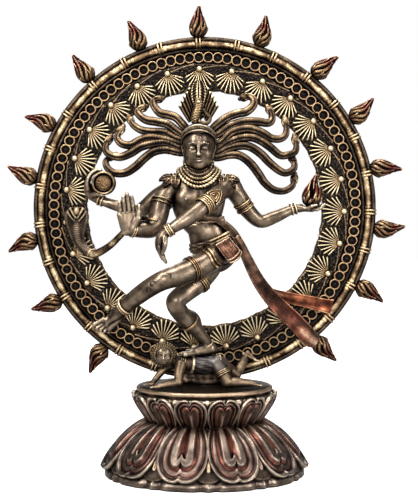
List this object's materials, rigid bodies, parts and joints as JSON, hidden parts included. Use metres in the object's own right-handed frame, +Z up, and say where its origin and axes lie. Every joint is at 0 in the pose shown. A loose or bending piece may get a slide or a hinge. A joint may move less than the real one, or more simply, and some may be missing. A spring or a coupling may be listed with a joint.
{
  "type": "nataraja statue",
  "caption": "Cast brass dancing figure with four arms and streaming hair inside a ring of flames, standing on a dwarf on a double lotus base.",
  "frame": {"origin": "centre of the base's flat underside, on the surface it stands on", "axes": "+Z up, the figure faces -Y, +X towards the figure's left side"},
  "size_m": [0.2828, 0.1312, 0.3277],
  "materials": {
    "bronze": "antique bronze patina over cast metal, satin, rubbed lighter on the high places",
    "bronze_gold": "rubbed gold on dark patina, satin",
    "bronze_red": "copper red wash over dark bronze, satin",
    "bronze_dark": "dark brown bronze patina with worn high places",
    "bronze_grey": "grey-blue wash over dark bronze",
    "steel": "plain steel",
    "felt": "black felt over a flat plate"
  },
  "bodies": {
    "root": {"anklet": "bronze_gold", "arm_front_left": "bronze", "arm_front_right": "bronze", "arm_rear_left": "bronze", "arm_rear_right": "bronze", "armlet_front_left": "bronze_gold", "armlet_front_right": "bronze_gold", "armlet_rear_left": "bronze_gold", "base_bottom_plate": "felt", "base_deck": "bronze_dark", "base_lower_lotus": "bronze_dark", "base_nut": "steel", "base_stud": "steel", "base_upper_lotus": "bronze_dark", "bracelet_front_left": "bronze_gold", "bracelet_rear_left": "bronze_gold", "collar_necklace": "bronze_gold", "crest_cobra": "bronze", "crest_fan": "bronze_gold", "diadem": "bronze_gold", "dwarf_body": "bronze_grey", "dwarf_hair": "bronze_gold", "dwarf_head": "bronze", "fan_border_back": "bronze_gold", "fan_border_front": "bronze_gold", "flame_01": "bronze_red", "flame_02": "bronze_red", "flame_03": "bronze_red", "flame_04": "bronze_red", "flame_05": "bronze_red", "flame_06": "bronze_red", "flame_07": "bronze_red", "flame_08": "bronze_red", "flame_09": "bronze_red", "flame_10": "bronze_red", "flame_11": "bronze_red", "flame_12": "bronze_red", "flame_13": "bronze_red", "flame_14": "bronze_red", "flame_15": "bronze_red", "forearm_cobra": "bronze", "girdle": "bronze_gold", "hair_locks_left": "bronze_gold", "hair_locks_right": "bronze_gold", "hand_drum": "bronze_gold", "hand_flame": "bronze_red", "head": "bronze", "hip_cloth": "bronze_red", "leg_raised": "bronze", "leg_standing": "bronze", "ring_rim_tube": "bronze_gold", "ring_saddle": "bronze_dark", "ring_web": "bronze", "rosette_chain_back": "bronze_gold", "rosette_chain_front": "bronze_gold", "sash_long_tail": "bronze_red", "sash_short_tail": "bronze_red", "thigh_band": "bronze_gold", "torso": "bronze", "waist_sash": "bronze_red"}
  },
  "joints": []
}
